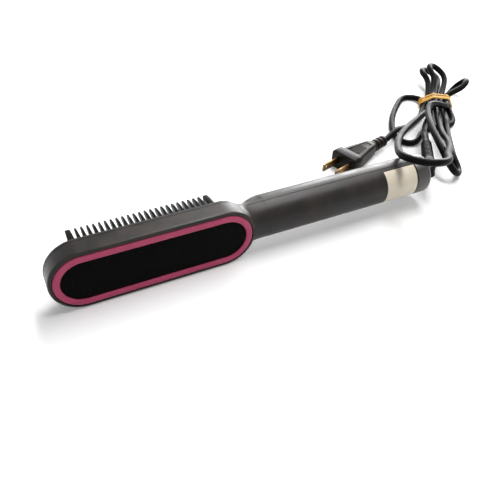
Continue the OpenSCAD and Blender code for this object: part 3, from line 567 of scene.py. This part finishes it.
def smoothNeck(whole):  # the neck flows into head and handle, which keep their own forms
    shape = bmesh.new()
    shape.from_mesh(whole.data)
    soft, mid = [], Vector((headEnd, 0, brush["axisZ"])) * mm
    for vert in shape.verts:
        s, z = (vert.co.x - mid.x) / mm, (vert.co.z - mid.z) / mm
        low = vert.co.y / mm < neck["lipKept"] - brush["headBack"]
        onLip = low and math.hypot(s, z) < brush["headRadius"] + neck["lipReach"]
        if neck["smoothFrom"] < s < neck["to"] and not onLip:
            soft.append(vert)
    for i in range(neck["smoothRounds"]):
        bmesh.ops.smooth_vert(shape, verts=soft, factor=neck["smoothBy"], use_axis_x=True, use_axis_y=True,
                              use_axis_z=True)
    for vert in shape.verts:  # the handle goes back to a true round
        reach = Vector((vert.co.y, vert.co.z - mid.z)).length
        outside = reach > (brush["handleRadius"] - neck["roundWithin"]) * mm
        if vert.co.x > mid.x + neck["to"] * mm and outside:
            vert.co.y *= brush["handleRadius"] * mm / reach
            vert.co.z = mid.z + (vert.co.z - mid.z) * brush["handleRadius"] * mm / reach
    shape.to_mesh(whole.data)
    shape.free()


def shellHoles():  # the panel's pocket, the cavity, bore and channel, and the screw, button and lens holes
    far, through = brush["headBack"] + brush["clear"], brush["through"]
    holes = [slab(brush["pocketRadius"], -far, brush["pocketY"]),
             slab(brush["cavityRadius"], brush["floorY"], far),
             bar(brush["boreFrom"], brush["handleEnd"] + through, brush["boreRadius"]),
             bar(headEnd + through, brush["boreFrom"] + through, brush["channelRadius"], brush["channelY"])]
    for x in (-1, 1):
        for z in (-1, 1):
            holes.append(post(brush["headX"] + x * brush["screwX"], z * brush["screwZ"], -far,
                              brush["floorY"] + through, brush["screwHole"]))
    holes += [post(x, 0, 0, far, brush["buttonHole"]) for x in (brush["powerX"], brush["tempX"])]
    lens = post(brush["lensX"], 0, 0, far, brush["lensWidth"] / 2, 32)
    half = (brush["lensLength"] - brush["lensWidth"]) / 2
    for vert in lens.verts:
        vert.co.x += math.copysign(half, vert.co.x - brush["lensX"])
    return holes + [lens]


def makeShells():
    back = solidBrush()
    smoothNeck(back)
    carve(back, shellHoles())
    front = addObject("shellFront", back.data.copy())
    back.name = "shellBack"
    far = 4 * brush["headRadius"]  # well past the shells on every side, with twice that along the handle
    carve(back, [block((-2 * far, brush["parting"] - brush["seam"], -far), (2 * far, far, far))])
    carve(front, [block((-2 * far, -far, -far), (2 * far, brush["parting"] + brush["seam"], far))])
    ribs, foot, half = [], brush["floorY"] - brush["ribSunk"], brush["ribHalf"]
    for x in brush["ribs"]:
        ribs.append(block((brush["headX"] + x - half, foot, -brush["ribReach"]),
                          (brush["headX"] + x + half, brush["ribTop"], brush["ribReach"])))
    carve(back, ribs, "UNION")
    for piece, node in ((back, "back_shell"), (front, "front_shell")):
        dress(piece, "housing", "shell", sharpAbove=40)
        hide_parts(node)


makeShells()
print("shells made")


# Small moulded and turned pieces keep their CAD form and get rounded edges
roundings = {"comb_frame": 0.16, "trim_ring": 0.6, "back_panel": 0.15, "end_cap": 0.25,
             "swivel_knuckle": 0.35, "plug_blades": 0.2, "power_button": 0.2, "temp_button": 0.2,
             "heating_plate": 0.1, "pivot_pin": 0.2, "indicator_lens": 0.1}
softening = {"mergeWithin": 0.002, "flatWithin": 1, "roundAbove": 30, "sharpAbove": 32, "wide": 0.25}


def softened(nodeName, edge):  # a copy of a CAD node with the small edge rounding of a moulded piece
    entry = next(part for part in frame["record"]["subparts"] if part["node"] == nodeName)
    shape = bmesh.new()
    shape.from_mesh(nodes[nodeName].data)
    bmesh.ops.remove_doubles(shape, verts=shape.verts, dist=softening["mergeWithin"] * mm)
    bmesh.ops.dissolve_limit(shape, angle_limit=math.radians(softening["flatWithin"]), verts=shape.verts,
                             edges=shape.edges)
    words = nodeName.split("_")
    name = words[0] + "".join(word.capitalize() for word in words[1:])
    data = bpy.data.meshes.new(name)
    shape.to_mesh(data)
    shape.free()
    piece = addObject(name, data)
    soften = piece.modifiers.new("roundedEdges", "BEVEL")
    soften.width, soften.segments = edge * mm, 3 if edge > softening["wide"] else 2
    soften.limit_method, soften.angle_limit = "ANGLE", math.radians(softening["roundAbove"])
    settle(piece)
    dress(piece, nodes[nodeName]["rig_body"], entry["material_slot"], softening["sharpAbove"])
    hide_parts(nodeName)
    return piece


mouldings = {nodeName: softened(nodeName, edge) for nodeName, edge in roundings.items()}
print("edges rounded on", len(roundings), "pieces")


# Strain relief: an eye on the pin, a smooth collar and close soft ribs towards the cord
relief = {"eyeRadius": 4.6, "eyeThick": 5, "eyeHole": 1.55, "holeDepth": 9, "webInset": (0.1, 0.02),
          "collarFrom": 5.6, "collarTo": 14, "collarRadius": 5.1, "ribs": 12, "ribPitch": 2.6,
          "ribWidth": 1.7, "firstRadius": 4.9, "lastRadius": 4.4, "coreRadius": 3.5,
          "soft": 0.35, "softCut": 0.3, "sides": 48}


def turned(profile):  # a profile of (along, radius) turned about X
    shape = bmesh.new()
    verts = [shape.verts.new((along, 0, radius)) for along, radius in profile]
    edges = [shape.edges.new(pair) for pair in zip(verts, verts[1:])]
    bmesh.ops.spin(shape, geom=verts + edges, cent=(0, 0, 0), axis=(1, 0, 0), dvec=(0, 0, 0),
                   angle=2 * math.pi, steps=relief["sides"], use_merge=True)
    bmesh.ops.remove_doubles(shape, verts=shape.verts, dist=0.001)
    return shape


def softStep(start, end, radius):  # a raised band of the profile, its two edges rounded
    soft = relief["soft"]
    cut = relief["softCut"] * soft
    return [(start, radius - soft), (start + cut, radius - cut), (start + soft, radius),
            (end - soft, radius), (end - cut, radius - cut), (end, radius - soft)]


def makeStrainRelief():
    core, soft, first = relief["coreRadius"], relief["soft"], relief["firstRadius"]
    start, end, length = relief["collarFrom"], relief["collarTo"], cordRoute["bootLength"]
    profile = [(start, 0)] + softStep(start, end, relief["collarRadius"]) + [(end, core)]
    for i in range(relief["ribs"]):
        end = relief["collarTo"] + (i + 1) * relief["ribPitch"]
        start = end - relief["ribWidth"]
        radius = first + (relief["lastRadius"] - first) * i / (relief["ribs"] - 1)
        profile += [(start, core)] + softStep(start, end, radius) + [(end, core)]
    profile += [(length - soft, core), (length, core - soft), (length, 0)]
    piece = asObject("strainRelief", turned(profile))
    disc, hole = (rod(radius, depth, relief["sides"], Matrix()) for radius, depth in
                  ((relief["eyeRadius"], relief["eyeThick"]), (relief["eyeHole"], relief["holeDepth"])))
    web, reach = bmesh.new(), relief["collarFrom"] + soft  # the web joins the eye to the collar
    side, flat = relief["webInset"]
    addBrick(web, (reach / 2, 0, 0), (reach, 2 * relief["eyeRadius"] - side, relief["eyeThick"] - flat))
    carve(piece, [disc, web], "UNION")
    carve(piece, [hole])
    roll, tilt = math.radians(cordRoute["bootRoll"]), math.radians(cordRoute["bootTilt"])
    place = Matrix.Translation(Vector(cordRoute["pivot"]) * mm) @ Matrix.Rotation(-roll, 4, "X")
    piece.data.transform(place @ Matrix.Rotation(tilt, 4, "Z"))
    dress(piece, "cord_end", "cord_black", sharpAbove=40)
    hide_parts("strain_relief")
    return piece


reliefPiece = makeStrainRelief()
print("strain relief made")


# Bare cream label round the handle's end
label = {"from": 94.3, "to": 121, "start": 22, "sweep": 114, "steps": 40, "thick": 0.08, "lift": 0.03}


def makeLabel():
    shape = bmesh.new()
    radius = brush["handleRadius"] + label["lift"]
    turn = Matrix.Rotation(math.radians(label["start"]), 4, "X")
    ends = [shape.verts.new(turn @ Vector((x, 0, radius))) for x in (label["from"], label["to"])]
    edge = shape.edges.new(ends)
    bmesh.ops.spin(shape, geom=[*ends, edge], cent=(0, 0, 0), axis=(1, 0, 0), dvec=(0, 0, 0),
                   angle=math.radians(label["sweep"]), steps=label["steps"], use_merge=False)
    bmesh.ops.translate(shape, vec=(0, 0, brush["axisZ"]), verts=shape.verts)
    bmesh.ops.recalc_face_normals(shape, faces=shape.faces[:])
    film = asObject("blankLabel", shape)
    wall = film.modifiers.new("filmThickness", "SOLIDIFY")
    wall.thickness, wall.offset = label["thick"] * mm, 1
    settle(film)
    dress(film, "housing", "white_plastic", sharpAbove=60)
    film.data.materials[0] = labelPaper


makeLabel()
print("label made")


# Plug: a tapering grip with a recessed finger rest on each side, a flange and a ribbed boot. A section is
# (along, width, height, corner radius), and the flange's two edges are (along, inset)
plug = {"sections": ((18.3, 10.4, 11.2, 2.4), (20, 11.4, 12, 2.8), (30, 14.6, 12.6, 2.2), (40, 18.6, 13, 2),
                     (45, 20.6, 13.2, 2), (47.7, 21.4, 13.4, 2)), "sides": 40, "halfHeight": 6.35,
        "bootLength": 18.5, "coreRadius": 4.3, "coreEdge": 0.5, "coreInside": 1, "bootSides": 48,
        "ribs": 4, "ribFrom": 1, "ribRadius": 5.3, "ribWidth": 3, "ribTaper": 0.1, "ribEdge": 0.7,
        "bodyLength": 29, "flangeLength": 8.5, "flangeSize": (25.5, 16.2), "flangeCorner": 3.5,
        "flangeFront": ((-0.4, 0.7), (-0.1, 0.2), (0.7, 0)),
        "flangeBack": ((-0.7, 0), (-0.2, 0.2), (0, 0.7)),
        "restFrom": 22.5, "restTo": 44.5, "restHalf": 3.6, "restFlare": 2.6, "restDepth": 0.7,
        "restThick": 3, "restCorner": 1.4,
        "gridFrom": 30, "gridTo": 42, "gridHalf": 4.4, "gridPitch": 1.3, "gridLine": 0.4, "gridHeight": 0.3}


def plugLoft(sections):
    shape, sides = bmesh.new(), plug["sides"]
    halfStep = Matrix.Rotation(math.pi / sides, 3, "Z")
    rings = []
    for x, width, height, corner in sections:
        across, up = width / 2 - corner, height / 2 - corner

        def form(place):
            place = halfStep @ place
            return Vector((0, place.x * corner + math.copysign(across, place.x),
                           place.y * corner + math.copysign(up, place.y)))
        rings.append(ring(shape, sides, Matrix.Translation((x, 0, 0)), form))
    skin(shape, rings)
    return shape


def plugTurned(start, end, radius, edge):  # a turned disc of the boot
    place = Matrix.Translation(((start + end) / 2, 0, 0)) @ Matrix.Rotation(math.pi / 2, 4, "Y")
    shape = rod(radius, end - start, plug["bootSides"], place)
    rims = [side for side in shape.edges if abs(side.verts[0].co.x - side.verts[1].co.x) < 0.001]
    roundEdges(shape, rims, edge, segments=4)
    return shape


def fingerRests():
    rests, thick, wide = [], plug["restThick"], plug["restHalf"] + plug["restFlare"]
    for side in (-1, 1):
        rest = plugLoft([(plug["restFrom"], 2 * plug["restHalf"], thick, plug["restCorner"]),
                         (plug["restTo"], 2 * wide, thick, plug["restCorner"])])
        z = side * (plug["halfHeight"] + thick / 2 - plug["restDepth"])
        bmesh.ops.translate(rest, vec=(0, 0, z), verts=rest.verts)
        rests.append(rest)
    return rests


def flangeAndBoot():
    width, height = plug["flangeSize"]
    corner, start = plug["flangeCorner"], plug["bootLength"] + plug["bodyLength"]
    end = start + plug["flangeLength"]
    rims = [(start + x, inset) for x, inset in plug["flangeFront"]]
    rims += [(end + x, inset) for x, inset in plug["flangeBack"]]
    parts = [plugLoft([(x, width - 2 * inset, height - 2 * inset, corner - inset) for x, inset in rims]),
             plugTurned(0, plug["bootLength"] + plug["coreInside"], plug["coreRadius"], plug["coreEdge"])]
    pitch = plug["bootLength"] / plug["ribs"]
    for i in range(plug["ribs"]):
        start = plug["ribFrom"] + i * pitch
        radius = plug["ribRadius"] - plug["ribTaper"] * (plug["ribs"] - 1 - i)
        parts.append(plugTurned(start, start + plug["ribWidth"], radius, plug["ribEdge"]))
    return parts


def gripLines():  # a fine raised grid in each finger rest
    lines = bmesh.new()
    start, half, pitch, line = plug["gridFrom"], plug["gridHalf"], plug["gridPitch"], plug["gridLine"]
    length, middle = plug["gridTo"] - start, (start + plug["gridTo"]) / 2
    along, across = int(2 * half / pitch), int(length / pitch)
    for side in (-1, 1):
        z = side * (plug["halfHeight"] - plug["restDepth"])
        for i in range(along + 1):
            addBrick(lines, (middle, (i - along / 2) * pitch, z), (length, line, 2 * plug["gridHeight"]))
        for i in range(across + 1):
            addBrick(lines, (start + i * pitch, 0, z), (line, 2 * half, 2 * plug["gridHeight"]))
    return lines


def makePlug():
    body = asObject("plugBody", plugLoft(plug["sections"]))
    carve(body, fingerRests())
    carve(body, flangeAndBoot(), "UNION")
    grid = asObject("plugGrip", gripLines())
    turn = Matrix.Rotation(math.radians(cordRoute["plugTurn"]), 4, "Z")
    for piece in (body, grid):
        piece.data.transform(Matrix.Translation(Vector(cordRoute["plugEnd"]) * mm) @ turn)
        dress(piece, "cord_end", "plug_black", sharpAbove=30)
    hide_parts("plug_body")
    return body, grid


plugPieces = makePlug()
print("plug made")


# Rubber band: a few flat strands wound round the tied cord, crossing each other. A strand is (middle along
# the cord, how far it swings, where the swing starts, how far it stands up on top)
band = {"strands": ((-2.9, 0.8, 0.4, 0), (-0.9, 1.3, 2.3, 0.5), (1.2, 0.9, 4.2, 0.1), (2.4, 1.6, 5.4, 0.9)),
        "width": 2.3, "thick": 0.9, "step": 1, "gap": 0.62, "turnSteps": 120, "sides": 10}


def bandLine(lift):  # a closed line round the cord's strands, as (across, height)
    centres = [Vector(strand(*name)) for name in (("low", 0), ("low", 4), ("high", 1), ("high", 3))]
    corners = []
    for i in range(band["turnSteps"]):
        a = 2 * math.pi * i / band["turnSteps"]
        out = Vector((math.cos(a), math.sin(a)))
        stand = cordRoute["diameter"] / 2 + band["gap"] + lift * max(0, out.y)
        corners.append(max(centres, key=lambda c: c.dot(out)) + stand * out)
    line = []
    for a, b in zip(corners, corners[1:] + corners[:1]):
        count = max(1, round((b - a).length / band["step"]))
        line += [a + (b - a) * k / count for k in range(count)]
    return line


def makeBand():
    shape = bmesh.new()
    turn = math.radians(cordRoute["bundleTurn"])
    along = Vector((math.cos(turn), math.sin(turn), 0))
    for centre, swing, phase, lift in band["strands"]:
        line, places, rings = bandLine(lift), [], []
        for i, point in enumerate(line):
            places.append(onTable(centre + swing * math.sin(2 * math.pi * i / len(line) + phase), *point))
        for i, place in enumerate(places):
            way = (places[(i + 1) % len(places)] - places[i - 1]).normalized()
            side = (along - along.dot(way) * way).normalized()
            out = way.cross(side)
            axes = Matrix((side * band["width"] / 2, out * band["thick"] / 2, way)).transposed().to_4x4()
            rings.append(ring(shape, band["sides"], Matrix.Translation(place) @ axes))
        bridge(shape, rings + rings[:1])
    piece = asObject("rubberBand", shape)
    dress(piece, "cord_end", "rubber_band", sharpAbove=60)
    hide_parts("cord_band")
    return piece


bandPiece = makeBand()
print("band wound")


# The cord takes its finish and joins the cord_end body, with the pieces on it
cord.data.materials.append(cordPvc)
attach(cord, "cord_end")
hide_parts("cord_lead", "cord_hank", "cord_tail")


# Studio, in metres: a pale floor, a large low window lamp from behind the handle, a narrow lamp overhead
# that draws the long highlights, and a weak one in front
studio = {"floorColour": "#f2f2f2", "floorReach": 6, "floorLift": 0.15, "fadeFrom": 0.4, "fadeTo": 1.2,
          "worldFill": 0.22}
lamps = {"overhead": {"place": (0.45, 0.36, 1.2), "aim": (0.05, 0.36, 0), "size": (1.4, 0.3), "watts": 23},
         "window": {"place": (1.4, 1.3, 0.5), "aim": (0, 0.02, 0.1), "size": (1.4, 0.95), "watts": 50},
         "front": {"place": (-0.9, -1.6, 1.3), "aim": (0, 0, 0), "size": (1.6, 1.2), "watts": 6}}


def seenRays(owner):  # 1 for what is seen directly, in a reflection or through glass, otherwise 0
    rays = addNode(owner, "ShaderNodeLightPath")
    seen = addNode(owner, "ShaderNodeMath", {"operation": "MAXIMUM"},
                   {0: rays.outputs["Is Camera Ray"], 1: rays.outputs["Is Glossy Ray"]})
    seenToo = addNode(owner, "ShaderNodeMath", {"operation": "MAXIMUM"},
                      {0: seen.outputs[0], 1: rays.outputs["Is Transmission Ray"]})
    return seenToo.outputs[0]


def makeFloor():
    shape = bmesh.new()
    bmesh.ops.create_grid(shape, x_segments=1, y_segments=1, size=studio["floorReach"] / 2)
    data = bpy.data.meshes.new("studioFloor")
    shape.to_mesh(data)
    shape.free()
    floor = addObject("studioFloor", data)
    material = bpy.data.materials.new("paleFloor")
    material.use_nodes = True
    tree = material.node_tree
    tree.nodes.remove(tree.nodes["Principled BSDF"])
    place = addNode(material, "ShaderNodeTexCoord")
    reach = addNode(material, "ShaderNodeVectorMath", {"operation": "LENGTH"}, {0: place.outputs["Object"]})
    level = addNode(material, "ShaderNodeMapRange",  # away from the lamps the floor stays white
                    {"From Min": studio["fadeFrom"], "From Max": studio["fadeTo"],
                     "To Min": studio["floorLift"]}, {"Value": reach.outputs["Value"]})
    lift = addNode(material, "ShaderNodeMath", {"operation": "MULTIPLY"},
                   {0: seenRays(material), 1: level.outputs[0]})
    glow = addNode(material, "ShaderNodeEmission", {"Color": (1, 1, 1, 1)}, {"Strength": lift.outputs[0]})
    matt = addNode(material, "ShaderNodeBsdfDiffuse", {"Color": linear(studio["floorColour"])})
    both = addNode(material, "ShaderNodeAddShader", {}, {0: glow.outputs[0], 1: matt.outputs[0]})
    tree.links.new(both.outputs[0], tree.nodes["Material Output"].inputs["Surface"])
    data.materials.append(material)


def makeLamps():
    for name, lamp in lamps.items():
        data = bpy.data.lights.new(name, "AREA")
        data.shape = "RECTANGLE"
        data.size, data.size_y = lamp["size"]
        data.energy = lamp["watts"]
        light = addObject(name, data)
        light.location = lamp["place"]
        light.rotation_mode = "QUATERNION"
        light.rotation_quaternion = (Vector(lamp["aim"]) - Vector(lamp["place"])).to_track_quat("-Z", "Y")


def makeWorld():  # white where it is seen, and dimmer as a light
    world = bpy.data.worlds.new("studioWorld")
    bpy.context.scene.world = world
    world.use_nodes = True
    background = world.node_tree.nodes["Background"]
    background.inputs["Color"].default_value = (1, 1, 1, 1)
    level = addNode(world, "ShaderNodeMapRange", {"To Min": studio["worldFill"], "To Max": 1},
                    {"Value": seenRays(world)})
    world.node_tree.links.new(level.outputs[0], background.inputs["Strength"])


makeFloor()
makeLamps()
makeWorld()
bpy.context.scene.view_settings.view_transform = "Standard"
print("studio set")
